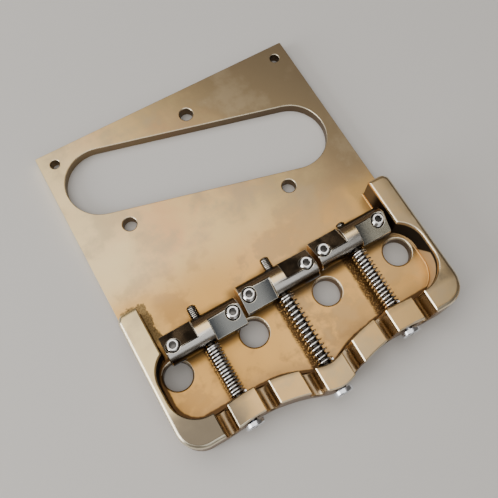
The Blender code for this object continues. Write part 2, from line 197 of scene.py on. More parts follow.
def spread(wire, value, low, high):
    """0 at low, 1 at high and beyond, smooth between. Low may be above high."""
    settings = {"interpolation_type": "SMOOTHSTEP"}
    sockets = {"Value": value, "From Min": low, "From Max": high}
    return wire.node("ShaderNodeMapRange", settings, sockets)


def feed(wire, shader, socket):
    wire.tree.links.new(wire.socket, shader.inputs[socket])


def marked(wire, name):
    """The number that mark stored on the faces."""
    return wire.node("ShaderNodeAttribute", {"attribute_name": name}, {}, "Fac")


def mark(mesh, name, amount):
    """Store a number from 0 to 1 on each face for the material to read."""
    values = mesh.attributes.new(name, "FLOAT", "FACE").data
    for value, face in zip(values, mesh.polygons):
        value.value = amount(face)


# Plate. One piece: a flat plate with a U-shaped rim around the saddle pocket. It is milled, its rim
# is slotted for the strings and drilled for three screws, and its front is cut out for the pickup.
PLATE_LOW, PLATE_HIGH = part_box("bridge_plate")
HALF_WIDTH = PLATE_HIGH[0]
FRONT_Y = PLATE_HIGH[1]
RIM_TOP = PLATE_HIGH[2]
PLATE_TOP = 0.0030
FRONT_REACH = 0.0699
MOUNT_LINE_Y = FRONT_Y - FRONT_REACH
FRONT_CORNER_ROUND = 0.0005
EDGE_BREAK = 0.00015
SIDE_WALL = 0.0054
SIDE_WALL_FRONT_Y = MOUNT_LINE_Y + 0.0179
POCKET_HALF_WIDTH = HALF_WIDTH - SIDE_WALL
REAR_WALL = 0.00605
OUTER_TOP_ROUND = 0.0012
REAR_TOP_ROUND = 0.0004
INNER_TOP_ROUND = 0.0004
FOOT_ROUND = 0.0003
REAR_LINE_Y = MOUNT_LINE_Y - 0.01835
BULGE_DEPTH = 0.0038
BULGE_SPREAD = 0.0076
WAVE_DEPTH = 0.0003
WAVE_CREST_X = 0.0190
WAVE_HALF_LENGTH = 0.0100
OUTER_CORNER_RADIUS = 0.0060
WALL_END_RADIUS = 0.0021
CORNER_SWELL = 0.00365
CORNER_RADIUS = 0.0072
CORNER_STRAIGHT = 0.0041
ROUNDING_STEPS = 5
ARC_STEPS = 16
WALL_END_STEPS = 8
HOLE_STEPS = 96
WAVE_STEP = 0.0010
CUTTER_REACH = 0.0010
SHARP_ANGLE = math.radians(30)

STRING_PITCH = 0.01075
STRING_SLOT_HALF = 0.001715
STRING_SLOT_FLOOR = PLATE_TOP + 0.0006
STRING_SLOT_BREAK = 0.00025
AXIS_Z = 0.0072
PASSAGE_RADIUS = 0.00175
SADDLE_PITCH = 2 * STRING_PITCH
SADDLE_NAMES = ("bass", "middle", "treble")

MOUNT_HOLE_PITCH = 0.0212
MOUNT_HOLE_RADIUS = 0.0036
MOUNT_HOLE_LIP = 0.0005
CORNER_HOLE_RADIUS = 0.0013
CORNER_HOLE_INSET_X = 0.0041
CORNER_HOLE_INSET_Y = 0.00395
CORNER_HOLE_LIP = 0.0002
PICKUP_CENTRE_Y = MOUNT_LINE_Y + 0.0488
PICKUP_SLANT = math.radians(-14.94)
PICKUP_END_SPREAD = 0.02622
PICKUP_RADIUS = 0.0097
PICKUP_LIP = 0.0002
PICKUP_SCREW_RADIUS = 0.00185
PICKUP_SCREW_LIP = 0.0003
PICKUP_SCREW_PLACES = ((-0.0215, -0.01405), (0.0215, -0.01405), (0.0, 0.0139))


def rear_face_y(x):
    """Y of the rear wall's outer face, with its bulge and its two shallow waves."""
    bulge = math.exp(-((x / BULGE_SPREAD) ** 2))
    phase = min((abs(x) - WAVE_CREST_X) / WAVE_HALF_LENGTH, 1.0)
    wave = (1 - bulge) * math.cos(math.pi * phase)
    return REAR_LINE_Y - BULGE_DEPTH * bulge + WAVE_DEPTH * wave


def arc(centre_x, centre_y, radius, start, end, steps):
    """Points on an arc from one angle to another, both ends included."""
    angles = [start + (end - start) * i / steps for i in range(steps + 1)]
    return [(centre_x + radius * math.cos(a), centre_y + radius * math.sin(a)) for a in angles]


def both_sides(treble, limit, shift):
    """A path down the treble side, along the rear wall and up the bass side."""
    steps = 2 * math.ceil(limit / WAVE_STEP)
    places = [limit - 2 * limit * i / steps for i in range(steps + 1)]
    rear = [(x, rear_face_y(x) + shift) for x in places]
    return treble + rear + [(-x, y) for x, y in reversed(treble)]


def outer_path():
    corner_x = HALF_WIDTH - OUTER_CORNER_RADIUS
    corner_y = rear_face_y(corner_x) + OUTER_CORNER_RADIUS
    corner = arc(corner_x, corner_y, OUTER_CORNER_RADIUS, 0, -math.pi / 2, ARC_STEPS)
    end_x = HALF_WIDTH - WALL_END_RADIUS
    end_y = SIDE_WALL_FRONT_Y - WALL_END_RADIUS
    end = arc(end_x, end_y, WALL_END_RADIUS, math.pi / 2, 0, WALL_END_STEPS)
    return both_sides(end + corner[:-1], corner_x, 0)


def inner_path():
    corner_x = POCKET_HALF_WIDTH + CORNER_SWELL - CORNER_RADIUS
    rear_y = rear_face_y(corner_x) + REAR_WALL + CORNER_RADIUS
    cusp = math.acos((POCKET_HALF_WIDTH - corner_x) / CORNER_RADIUS)
    front = arc(corner_x, rear_y + CORNER_STRAIGHT, CORNER_RADIUS, cusp, 0, ARC_STEPS)
    rear = arc(corner_x, rear_y, CORNER_RADIUS, 0, -math.pi / 2, ARC_STEPS)
    treble = [(POCKET_HALF_WIDTH, SIDE_WALL_FRONT_Y)] + front + rear[:-1]
    return both_sides(treble, corner_x, REAR_WALL)


def is_face(item):
    return isinstance(item, bmesh.types.BMFace)


def is_vert(item):
    return isinstance(item, bmesh.types.BMVert)


def plate_blank():
    """Plate and rim as one body, with a bevel weight on each edge that is rounded."""
    bm = bmesh.new()
    outer = [bm.verts.new((x, y, 0)) for x, y in outer_path()]
    inner = [bm.verts.new((x, y, 0)) for x, y in inner_path()]
    front = [bm.verts.new((x, FRONT_Y, 0)) for x in (-HALF_WIDTH, HALF_WIDTH)]
    rim = bm.faces.new(outer + inner[::-1])
    bass_end = outer[-1:-WALL_END_STEPS - 2:-1]
    treble_end = outer[WALL_END_STEPS::-1]
    floor = bm.faces.new(inner + bass_end + front + treble_end)

    raised = bmesh.ops.extrude_face_region(bm, geom=[rim, floor])["geom"]
    bmesh.ops.translate(bm, vec=(0, 0, PLATE_TOP), verts=list(filter(is_vert, raised)))
    rim_top = max(filter(is_face, raised), key=lambda face: len(face.verts))
    raised = bmesh.ops.extrude_face_region(bm, geom=[rim_top])["geom"]
    rise = (0, 0, RIM_TOP - PLATE_TOP)
    bmesh.ops.translate(bm, vec=rise, verts=list(filter(is_vert, raised)))
    bmesh.ops.delete(bm, geom=[rim_top], context="FACES_ONLY")
    bmesh.ops.recalc_face_normals(bm, faces=bm.faces)

    pocket = {(round(x, 7), round(y, 7)) for x, y in inner_path()}
    middle = (PLATE_TOP + RIM_TOP) / 2
    # The rounding changes its size inside the end slots, at an edge across the rim's top.
    change_x = 2.5 * STRING_PITCH - WAVE_STEP / 2
    for side in (-1, 1):
        rear = [v for v in bm.verts if v.co.z > middle and v.co.y < MOUNT_LINE_Y]
        rear.sort(key=lambda vert: abs(vert.co.x - side * change_x))
        bmesh.ops.connect_vert_pair(bm, verts=rear[:2])
    weight = bm.edges.layers.float.new("bevel_weight_edge")
    for edge in bm.edges:
        low, high = sorted(vert.co.z for vert in edge.verts)
        at_front = edge.verts[0].co.y > FRONT_Y - 1e-7
        on_pocket = all((round(v.co.x, 7), round(v.co.y, 7)) in pocket for v in edge.verts)
        at_end = all(abs(v.co.y - SIDE_WALL_FRONT_Y) < 1e-7 for v in edge.verts)
        on_outline = all(abs(v.co.x) > HALF_WIDTH - 1e-7 for v in edge.verts)
        on_outline = on_outline or at_front or high < PLATE_TOP / 2 or low > middle
        if low > middle:
            between_slots = all(
                abs(v.co.x) < 2.5 * STRING_PITCH and v.co.y < MOUNT_LINE_Y for v in edge.verts
            )
            rounding = REAR_TOP_ROUND if between_slots else OUTER_TOP_ROUND
            rounding = INNER_TOP_ROUND if on_pocket else rounding
        elif low > PLATE_TOP / 2 and high < middle:
            rounding = FOOT_ROUND if on_pocket or at_end else EDGE_BREAK * on_outline
        elif low > PLATE_TOP / 2 and at_end:
            rounding = INNER_TOP_ROUND
        elif high - low > PLATE_TOP / 2 and at_front:
            rounding = FRONT_CORNER_ROUND
        elif high < PLATE_TOP / 2:
            rounding = EDGE_BREAK
        else:
            rounding = 0
        if not edge.is_manifold or edge.calc_face_angle() < SHARP_ANGLE / 2:
            rounding = 0
        edge[weight] = rounding / OUTER_TOP_ROUND
    return bm


def turned(bm, profile, steps, place=Matrix()):
    """Spin a profile of (radius, height) points, axis to axis, about Z into a closed body."""
    before = set(bm.verts)
    corners = [bm.verts.new((radius, 0, height)) for radius, height in profile]
    edges = [bm.edges.new(pair) for pair in zip(corners, corners[1:])]
    bmesh.ops.spin(
        bm, geom=corners + edges, cent=(0, 0, 0), axis=(0, 0, 1), angle=2 * math.pi,
        steps=steps, use_merge=True,
    )
    body = [vert for vert in bm.verts if vert not in before]
    bmesh.ops.remove_doubles(bm, verts=body, dist=1e-7)
    body = [vert for vert in bm.verts if vert not in before]
    bmesh.ops.transform(bm, matrix=place, verts=body)


def bridged(bm, rings):
    """Closed body through rings of points that all have the same number of points."""
    loops = [[bm.verts.new(point) for point in ring] for ring in rings]
    bm.faces.new(loops[0])
    bm.faces.new(loops[-1])
    for lower, upper in zip(loops, loops[1:]):
        for i in range(len(lower)):
            bm.faces.new((lower[i - 1], lower[i], upper[i], upper[i - 1]))


def lip(radius, rounding):
    """Outline of a hole's rounded top edge as (radius, height) points, from its wall outwards."""
    turns = [math.radians(angle) for angle in (0, 20, 40, 60, 80)]
    rise = [(radius + rounding * (1 - math.cos(t)), PLATE_TOP - rounding * (1 - math.sin(t))) for t in turns]
    outer = radius + rounding
    return rise + [(outer + CUTTER_REACH, PLATE_TOP + CUTTER_REACH / 2), (outer + CUTTER_REACH, PLATE_TOP + CUTTER_REACH)]


def drilled(bm, radius, rounding, x, y):
    """Cutter for a hole through the plate, with a rounded top edge."""
    profile = [(0, -CUTTER_REACH), (radius, -CUTTER_REACH)] + lip(radius, rounding)
    profile.append((0, PLATE_TOP + CUTTER_REACH))
    turned(bm, profile, HOLE_STEPS, Matrix.Translation((x, y, 0)))


def slot_ring(middle, grow, shift, flat=False):
    """A string slot's U, grown by a width, at a distance from the rear face, or flat in one plane."""
    half = STRING_SLOT_HALF + grow
    flare = half + STRING_SLOT_BREAK + CUTTER_REACH
    u = [(-flare, RIM_TOP + CUTTER_REACH), (-half, RIM_TOP - STRING_SLOT_BREAK)]
    u += arc(0, STRING_SLOT_FLOOR + STRING_SLOT_HALF, half, math.pi, 2 * math.pi, ARC_STEPS)
    u += [(half, RIM_TOP - STRING_SLOT_BREAK), (flare, RIM_TOP + CUTTER_REACH)]
    return [(middle + x, rear_face_y(middle if flat else middle + x) + shift, z) for x, z in u]


def string_slots():
    """Cutters for the six slots. Both ends flare, so the slots' edges are broken."""
    bm = bmesh.new()
    edge = STRING_SLOT_BREAK
    for string in range(6):
        middle = (string - 2.5) * STRING_PITCH
        bridged(bm, [
            slot_ring(middle, edge + CUTTER_REACH, -5 * CUTTER_REACH, flat=True),
            slot_ring(middle, edge + CUTTER_REACH, -CUTTER_REACH),
            slot_ring(middle, 0, edge),
            slot_ring(middle, 0, REAR_WALL - edge),
            slot_ring(middle, edge, REAR_WALL),
            slot_ring(middle, edge, REAR_WALL + 5 * CUTTER_REACH, flat=True),
        ])
    return bm


def screw_passages():
    bm = bmesh.new()
    for index in range(3):
        x = (index - 1) * SADDLE_PITCH
        rear_y = rear_face_y(x) - CUTTER_REACH
        length = REAR_WALL + 3 * CUTTER_REACH
        place = Matrix.Translation((x, rear_y, AXIS_Z)) @ Matrix.Rotation(-math.pi / 2, 4, "X")
        profile = ((0, 0), (PASSAGE_RADIUS, 0), (PASSAGE_RADIUS, length), (0, length))
        turned(bm, profile, HOLE_STEPS // 2, place)
    return bm


def plate_holes():
    bm = bmesh.new()
    for hole in range(4):
        x = (hole - 1.5) * MOUNT_HOLE_PITCH
        drilled(bm, MOUNT_HOLE_RADIUS, MOUNT_HOLE_LIP, x, MOUNT_LINE_Y)
    for side in (-1, 1):
        x = side * (HALF_WIDTH - CORNER_HOLE_INSET_X)
        drilled(bm, CORNER_HOLE_RADIUS, CORNER_HOLE_LIP, x, FRONT_Y - CORNER_HOLE_INSET_Y)
    slanted = Matrix.Rotation(PICKUP_SLANT, 4, "Z")
    for place in PICKUP_SCREW_PLACES:
        x, y, _ = slanted @ Vector((*place, 0))
        drilled(bm, PICKUP_SCREW_RADIUS, PICKUP_SCREW_LIP, x, PICKUP_CENTRE_Y + y)
    return bm


def pickup_opening():
    bm = bmesh.new()
    slanted = Matrix.Translation((0, PICKUP_CENTRE_Y, 0)) @ Matrix.Rotation(PICKUP_SLANT, 4, "Z")
    quarter = math.pi / 2
    rings = []
    for radius, z in [(PICKUP_RADIUS, -CUTTER_REACH)] + lip(PICKUP_RADIUS, PICKUP_LIP):
        ends = arc(PICKUP_END_SPREAD, 0, radius, -quarter, quarter, 2 * ARC_STEPS)
        ends += arc(-PICKUP_END_SPREAD, 0, radius, quarter, 3 * quarter, 2 * ARC_STEPS)
        rings.append([slanted @ Vector((x, y, z)) for x, y in ends])
    bridged(bm, rings)
    return bm


def mesh_from(name, bm):
    bmesh.ops.recalc_face_normals(bm, faces=bm.faces)
    mesh = bpy.data.meshes.new(name)
    bm.to_mesh(mesh)
    bm.free()
    return mesh


def linked(name, bm):
    """A helper object in the scene, made from a bmesh."""
    helper = bpy.data.objects.new(name, mesh_from(name, bm))
    bpy.context.scene.collection.objects.link(helper)
    return helper


def evaluated(helper):
    """The mesh that a helper's modifiers leave."""
    bpy.context.view_layer.update()
    solid = helper.evaluated_get(bpy.context.evaluated_depsgraph_get())
    return bpy.data.meshes.new_from_object(solid)


def discard(helpers):
    for helper in helpers:
        data = helper.data
        bpy.data.objects.remove(helper, do_unlink=True)
        bpy.data.meshes.remove(data)


def rounded(blank, width):
    """The blank with its weighted edges rounded, in clean triangles that the cutters can cut."""
    work = linked("blank", blank)
    bevel = work.modifiers.new("edge_rounding", "BEVEL")
    bevel.limit_method = "WEIGHT"
    bevel.width = width
    bevel.segments = ROUNDING_STEPS
    bevel.use_clamp_overlap = False
    bm = bmesh.new()
    bm.from_mesh(evaluated(work))
    discard([work])
    bmesh.ops.remove_doubles(bm, verts=bm.verts, dist=1e-6)
    bmesh.ops.dissolve_degenerate(bm, dist=1e-6, edges=bm.edges)
    bmesh.ops.triangulate(bm, faces=bm.faces)
    return bm


def milled(name, blank, cutters):
    """The mesh that is left when cutters are taken out of a blank."""
    work = linked(name, blank)
    tools = []
    for number, cutter in enumerate(cutters):
        tool = linked(f"{name}_cutter_{number}", cutter)
        boolean = work.modifiers.new(tool.name, "BOOLEAN")
        boolean.operation = "DIFFERENCE"
        boolean.solver = "EXACT"
        boolean.object = tool
        tools.append(tool)
    mesh = evaluated(work)
    discard([work] + tools)
    return mesh


def finished(name, mesh, material, body, node):
    """A piece with its material that stands for a CAD node, and rides on a body if one is named."""
    mesh.name = name
    mesh.shade_smooth()
    mesh.set_sharp_from_angle(angle=SHARP_ANGLE)
    mesh.materials.clear()
    mesh.materials.append(material)
    piece = bpy.data.objects.new(name, mesh)
    bpy.context.scene.collection.objects.link(piece)
    even = piece.modifiers.new("even_shading", "WEIGHTED_NORMAL")
    even.keep_sharp = True
    if body:
        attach(piece, body)
    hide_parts(node)
    return piece


def edge_wear(face):
    """1 on rounded edges that face the rear and the bass side: rubbed smoother, and painted bright as a
    highlight where they face the lamps.
    """
    on_edge = face.center.z > RIM_TOP - OUTER_TOP_ROUND or face.center.z < PLATE_TOP
    rubbed_and_lit = max(face.normal.x, face.normal.y) < 0.3 or abs(face.center.x) > HALF_WIDTH - OUTER_TOP_ROUND
    return float(on_edge and rubbed_and_lit and 0.1 < face.normal.z < 0.98)


def hole_wall(face):
    """1 on the walls of the openings through the plate, which are painted dark brown as shade inside the
    holes.
    """
    x, y, z = face.center
    inside = abs(x) < HALF_WIDTH - CUTTER_REACH and abs(y - FRONT_Y + FRONT_REACH / 2) < 0.045
    return float(inside and z < PLATE_TOP - 0.0003 and abs(face.normal.z) < 0.2)


def outer_wall(face):
    """1 on the outer faces of the rim and on the plate's side edges."""
    (x, y, z), normal = face.center, face.normal
    at_rear = normal.y < -0.3 and y < REAR_LINE_Y + REAR_WALL / 2
    at_side = normal.x * x > 0.3 * abs(x) and abs(x) > HALF_WIDTH - SIDE_WALL / 2
    return float((at_rear or at_side) and abs(normal.z) < 0.6)


CHAMPAGNE = (0.92, 0.64, 0.29, 1)
CHAMPAGNE_PINK = (0.90, 0.54, 0.25, 1)
CHAMPAGNE_OLIVE = (0.34, 0.25, 0.14, 1)
HAZE_GREY = (0.62, 0.48, 0.29, 1)
SILVER_BEIGE = (0.95, 0.75, 0.42, 1)
POCKET_GOLD = (0.88, 0.50, 0.155, 1)
POCKET_TAN = (0.46, 0.27, 0.12, 1)
POCKET_AMBER = (0.54, 0.27, 0.055, 1)
RIM_BEIGE = (0.80, 0.52, 0.22, 1)
RIM_SILVER = (0.92, 0.74, 0.40, 1)
RIM_TREBLE = (0.66, 0.49, 0.27, 1)
RIM_SHADE_GREY = (0.19, 0.155, 0.11, 1)
WORN_NICKEL_HIGHLIGHT = (0.95, 0.86, 0.66, 1)
DARK_BROWN = (0.07, 0.035, 0.016, 1)
CRUST_OLIVE = (0.40, 0.29, 0.14, 1)
HALO_ORANGE = (0.90, 0.54, 0.18, 1)
SLOT_BRONZE = (0.44, 0.33, 0.20, 1)
WALL_OLIVE = (0.09, 0.08, 0.065, 1)
SWELL_LIGHT = (0.80, 0.66, 0.45, 1)
CRESCENT_DARK = (0.010, 0.005, 0.003, 1)
HOLE_BROWN = (0.10, 0.065, 0.04, 1)
OUTSIDE_BROWN = (0.26, 0.17, 0.10, 1)

nickel, nickel_shader, wire = metal("aged_nickel", 0.36)
place, (x, y, z) = coordinates(wire)
clouds = noise(wire, place, 45, 4)
haze = noise(wire, place, 85, 5, 0.6)
patches = noise(wire, place, 170, 5)
fine = noise(wire, place, 900, 5)
grain = noise(wire, place, 2600, 4, 0.7)
rubbed_and_lit = marked(wire, "edge_wear")

side = abs(x)
bulge = wire.math("EXPONENT", -1.0 * (x / BULGE_SPREAD) ** 2.0)
from_rear = y - (REAR_LINE_Y + REAR_WALL) + BULGE_DEPTH * bulge
from_side = POCKET_HALF_WIDTH - side
corner_x = POCKET_HALF_WIDTH + CORNER_SWELL - CORNER_RADIUS
corner_y = rear_face_y(corner_x) + REAR_WALL + CORNER_RADIUS
across = wire.math("MAXIMUM", side - corner_x, 0.0)
along = y - wire.math("MINIMUM", wire.math("MAXIMUM", y, corner_y), corner_y + CORNER_STRAIGHT)
from_swell = CORNER_RADIUS - wire.math("SQRT", across ** 2.0 + along ** 2.0)
in_swell = spread(wire, y, MOUNT_LINE_Y + 0.0055, MOUNT_LINE_Y + 0.0045)
in_swell = in_swell * spread(wire, side, corner_x - 0.0010, corner_x)
behind_front = spread(wire, y, SIDE_WALL_FRONT_Y + 0.0002, SIDE_WALL_FRONT_Y - 0.0002)
outside = marked(wire, "outer_wall")
low = spread(wire, z, PLATE_TOP + 0.0008, PLATE_TOP + 0.0003) * (1 - outside)
on_rim = spread(wire, z, RIM_TOP - 0.0014, RIM_TOP - 0.0004)
on_wall = (1 - low) * (1 - on_rim) * (1 - outside)

colour = tint(wire, spread(wire, clouds, 0.42, 0.60), CHAMPAGNE, CHAMPAGNE_PINK)
# Painted light and shade: lighter silver on the bass side of the front, darker olive towards the treble side
# and the front, greyest at the treble front corner.
bass_front_light = spread(wire, x + 0.014 * clouds, -0.004, -0.028) * spread(wire, y, -0.010, 0.012)
colour = tint(wire, bass_front_light * 0.85, colour, SILVER_BEIGE)
olive = spread(wire, x + 0.55 * y + 0.030 * (haze - 0.5), -0.004, 0.040)
colour = tint(wire, olive * 0.92, colour, CHAMPAGNE_OLIVE)
colour = tint(wire, spread(wire, haze, 0.48, 0.66) * 0.55, colour, HAZE_GREY)
far_corner_shade = spread(wire, x + 0.6 * y + 0.010 * (haze - 0.5), 0.026, 0.060)
colour = tint(wire, far_corner_shade * 0.45, colour, RIM_SHADE_GREY)
in_pocket = spread(wire, y + 0.008 * clouds, 0.010, -0.008) * (1 - on_rim)
colour = tint(wire, in_pocket * 0.9, colour, POCKET_GOLD)
mottled = spread(wire, 0.6 * haze + 0.4 * patches, 0.48, 0.58) * in_pocket
mottled = mottled * (1 - 0.7 * spread(wire, x, 0.004, 0.022))
colour = tint(wire, mottled * 0.6, colour, POCKET_TAN)
faded = spread(wire, 0.7 * clouds + 0.3 * patches, 0.50, 0.60) * in_pocket
colour = tint(wire, faded * 0.15, colour, SILVER_BEIGE)
bass_pocket = spread(wire, x + 0.006 * haze, 0.008, -0.016) * in_pocket
colour = tint(wire, bass_pocket * 0.45, colour, POCKET_AMBER)
rear_band = spread(wire, from_rear + 0.005 * haze, 0.0068, 0.0032) * low
colour = tint(wire, rear_band * 0.55, colour, POCKET_TAN)
# Painted shade: the pocket's inner wall faces are painted near black, as they stand in shade.
inner_wall = on_wall * spread(wire, side, POCKET_HALF_WIDTH - 0.0003, POCKET_HALF_WIDTH - 0.0001)
inner_wall = wire.math("MAXIMUM", inner_wall, on_wall * spread(wire, from_rear, 0.0004, 0.0001))
in_corner = on_wall * in_swell * spread(wire, from_swell, 0.0004, 0.0001)
inner_wall = wire.math("MAXIMUM", inner_wall, in_corner)
colour = tint(wire, inner_wall * 0.9, colour, WALL_OLIVE)
# Painted light: the treble swell's wall is painted pale tan where light falls on it.
swell_wall = on_wall * spread(wire, x, POCKET_HALF_WIDTH + 0.0004, POCKET_HALF_WIDTH + 0.0010)
swell_wall = wire.math("MAXIMUM", swell_wall, on_wall * in_swell * spread(wire, x, 0.0290, 0.0300))
swell_wall = swell_wall * spread(wire, y, -0.0365, -0.0355) * spread(wire, side, 0.0372, 0.0368)
colour = tint(wire, swell_wall, colour, SWELL_LIGHT)
# Painted reflection: the upper part of the side walls' and corners' inner faces is painted near black, for
# dark surroundings mirrored in them.
dark_above = wire.math("MINIMUM", wire.math("MAXIMUM", (-0.0248 - y) * 1.67, 0.0), 0.0059)
crescent = spread(wire, z - dark_above + 0.0006 * haze, 0.0029, 0.0036)
crescent = crescent * spread(wire, y, -0.0080, -0.0105) * behind_front
crescent = crescent * wire.math("MAXIMUM", inner_wall, swell_wall)
crescent = crescent * spread(wire, side, 0.0286, 0.0300)
colour = tint(wire, crescent * 0.97, colour, CRESCENT_DARK)
colour = tint(wire, on_rim, colour, RIM_BEIGE)
on_treble = spread(wire, x, 0.024, 0.034) * on_rim
colour = tint(wire, on_treble * 0.7, colour, RIM_TREBLE)
outer_shade = on_treble * spread(wire, side, HALF_WIDTH - 0.0036, HALF_WIDTH - 0.0006)
colour = tint(wire, outer_shade * 0.6, colour, RIM_SHADE_GREY)
on_bass = spread(wire, x, -0.028, -0.033) * on_rim
colour = tint(wire, on_bass * 0.8, colour, RIM_SILVER)
colour = tint(wire, spread(wire, haze, 0.44, 0.60) * on_rim * 0.6, colour, HAZE_GREY)
# Painted shade, in patches, on the rear rim's top just behind its inner edge.
inner_edge = spread(wire, from_rear, -0.0016, -0.0002) * spread(wire, y, -0.026, -0.034) * on_rim
colour = tint(wire, inner_edge * spread(wire, patches, 0.30, 0.60) * 0.7, colour, RIM_SHADE_GREY)
# Painted shade on the rim's top at the bass rear corner.
shaded_corner = spread(wire, x - 0.006 * haze, -0.020, -0.030) * spread(wire, y, -0.028, -0.037)
colour = tint(wire, shaded_corner * on_rim * 0.98, colour, RIM_SHADE_GREY)

slot_offset = abs(wire.math("WRAP", x, 0.0, STRING_PITCH) - STRING_PITCH / 2)
in_slot = spread(wire, slot_offset, STRING_SLOT_HALF + 0.0001, STRING_SLOT_HALF)
in_slot = in_slot * spread(wire, from_rear, 0.0008, 0.0004) * spread(wire, side, 0.0305, 0.0295)
in_slot = in_slot * spread(wire, z, RIM_TOP - 0.0001, RIM_TOP - 0.0003)
in_slot = in_slot * spread(wire, z, STRING_SLOT_FLOOR - 0.0005, STRING_SLOT_FLOOR - 0.0003)
colour = tint(wire, in_slot, colour, SLOT_BRONZE)

# Darker brown along the feet of the walls.
edge = 0.0004 * fine
treble_flank = spread(wire, x, -0.0010, 0.0030) * spread(wire, x, 0.0180, 0.0120)
foot = spread(wire, from_rear - edge + 0.0006 * treble_flank, 0.0010, 0.0006)
foot = wire.math("MAXIMUM", foot, spread(wire, from_side - edge, 0.0005, 0.0001) * (1 - in_swell))
swell_foot = spread(wire, from_swell - edge, 0.0011, 0.0007) * in_swell
swell_foot = swell_foot * spread(wire, x, 0.0330, 0.0290)
foot = wire.math("MAXIMUM", foot, swell_foot) * low * behind_front
colour = tint(wire, foot * 0.92, colour, DARK_BROWN)

# Painted shade under each saddle, a little wider than the saddle: its shadow and dark reflection on the
# floor.
for name in SADDLE_NAMES:
    lowest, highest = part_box("saddle_" + name)
    middle_x, middle_y = [(low_end + high_end) / 2 for low_end, high_end in zip(lowest, highest)][:2]
    across = abs(x - middle_x) - (highest[0] - middle_x)
    along = abs(y - middle_y) - (highest[1] - middle_y)
    under = spread(wire, across + 0.003 * (patches - 0.5), 0.0026, 0.0004)
    under = under * spread(wire, along + 0.003 * (patches - 0.5), 0.0022, 0.0002)
    colour = tint(wire, under * low * 0.6, colour, DARK_BROWN)

# Painted shadow and reflection of the springs on the floor, speckled. It lies a little towards the bass
# side, where their reflections are.
from_spring = abs(wire.math("WRAP", 1.028 * x + 0.0008, SADDLE_PITCH / 2, -SADDLE_PITCH / 2))
spring_shade = spread(wire, from_spring + 0.0012 * fine, 0.0031, 0.0022) * low
spring_shade = spring_shade * spread(wire, y, -0.0160, -0.0180) * spread(wire, side, 0.0300, 0.0280)
colour = tint(wire, spring_shade * spread(wire, grain, 0.28, 0.52) * 0.92, colour, DARK_BROWN)
# Darker olive on the floor along the treble wall's front part.
dark_foot = spread(wire, from_side + 0.004 * patches, 0.0055, 0.0030) * low * spread(wire, x, 0.020, 0.026)
dark_foot = dark_foot * spread(wire, y, 0.0010, -0.0040) * spread(wire, y, -0.0280, -0.0230)
colour = tint(wire, dark_foot * 0.55, colour, WALL_OLIVE)

ragged = from_side + 0.0040 * patches + 0.0030 * fine
crust = spread(wire, ragged, 0.0060, 0.0055) * low * spread(wire, x, 0.0400, -0.0100)
crust = crust * spread(wire, y + 0.0030 * fine, -0.0010, -0.0016) * spread(wire, y, -0.0150, -0.0120)
crust = crust * spread(wire, side, HALF_WIDTH - 0.0005, HALF_WIDTH - 0.0015)
halo = spread(wire, from_side + 0.004 * patches, 0.0085, 0.0045) * low
halo = halo * spread(wire, y, 0.001, -0.004) * spread(wire, y, -0.018, -0.012)
colour = tint(wire, halo * 0.7, colour, HALO_ORANGE)
colour = tint(wire, crust * 0.8, colour, CRUST_OLIVE)
colour = tint(wire, crust * spread(wire, grain, 0.45, 0.65) * 0.6, colour, DARK_BROWN)
# Painted reflection: the outer faces of the rim and the plate's edges are painted brown, with darker
# patches, for dark surroundings mirrored in them.
outside = outside * (1 - on_rim) * spread(wire, y, 0.030, -0.006)
colour = tint(wire, outside, colour, OUTSIDE_BROWN)
colour = tint(wire, outside * spread(wire, haze, 0.45, 0.62) * 0.4, colour, DARK_BROWN)
# Painted shade: the walls of the holes are dark brown.
colour = tint(wire, marked(wire, "hole_wall") * 0.8, colour, HOLE_BROWN)
# Wear and painted highlight: the marked edges are bright and smoother.
colour = tint(wire, rubbed_and_lit * 0.75, colour, WORN_NICKEL_HIGHLIGHT)
feed(colour, nickel_shader, "Base Color")

roughness = 0.29 + 0.16 * patches + 0.08 * grain + 0.25 * crust - 0.14 * in_slot - 0.12 * rubbed_and_lit
dull_wall = inner_wall * (1 - crescent) * spread(wire, from_rear, -0.0006, -0.0002)
roughness = roughness + 0.4 * crescent + 0.25 * dull_wall
feed(roughness, nickel_shader, "Roughness")
height = grain + 5.0 * crust * noise(wire, place, 1500, 4, 0.7)
bump = wire.node("ShaderNodeBump", {}, {"Strength": 0.12, "Distance": 0.00005, "Height": height})
feed(bump, nickel_shader, "Normal")

plate_mesh = milled(
    "plate", rounded(plate_blank(), OUTER_TOP_ROUND),
    [pickup_opening(), plate_holes(), string_slots(), screw_passages()],
)
mark(plate_mesh, "edge_wear", edge_wear)
mark(plate_mesh, "hole_wall", hole_wall)
mark(plate_mesh, "outer_wall", outer_wall)
finished("plate", plate_mesh, nickel, "plate", "bridge_plate")


# Saddles. Each is a short steel barrel with one flat milled on each half, leaning opposite ways so
# that each string has its own edge to lie on. The round middle between the flats stays uncut.
SADDLE_RADIUS = 0.00385
SADDLE_END_CHAMFER = 0.0002
SADDLE_EDGE_BREAK = 0.00016
SADDLE_STEPS = 96
FACET_TILT = math.radians(29)
FACET_OFFSET = 0.0026
FACET_MIDDLE = 0.0038
BASS_HALF_FACES = (1, -1, 1)
HEIGHT_SCREW_INSET = 0.00225
HEIGHT_BORE_RADIUS = 0.0018
INTONATION_BORE_RADIUS = 0.0016


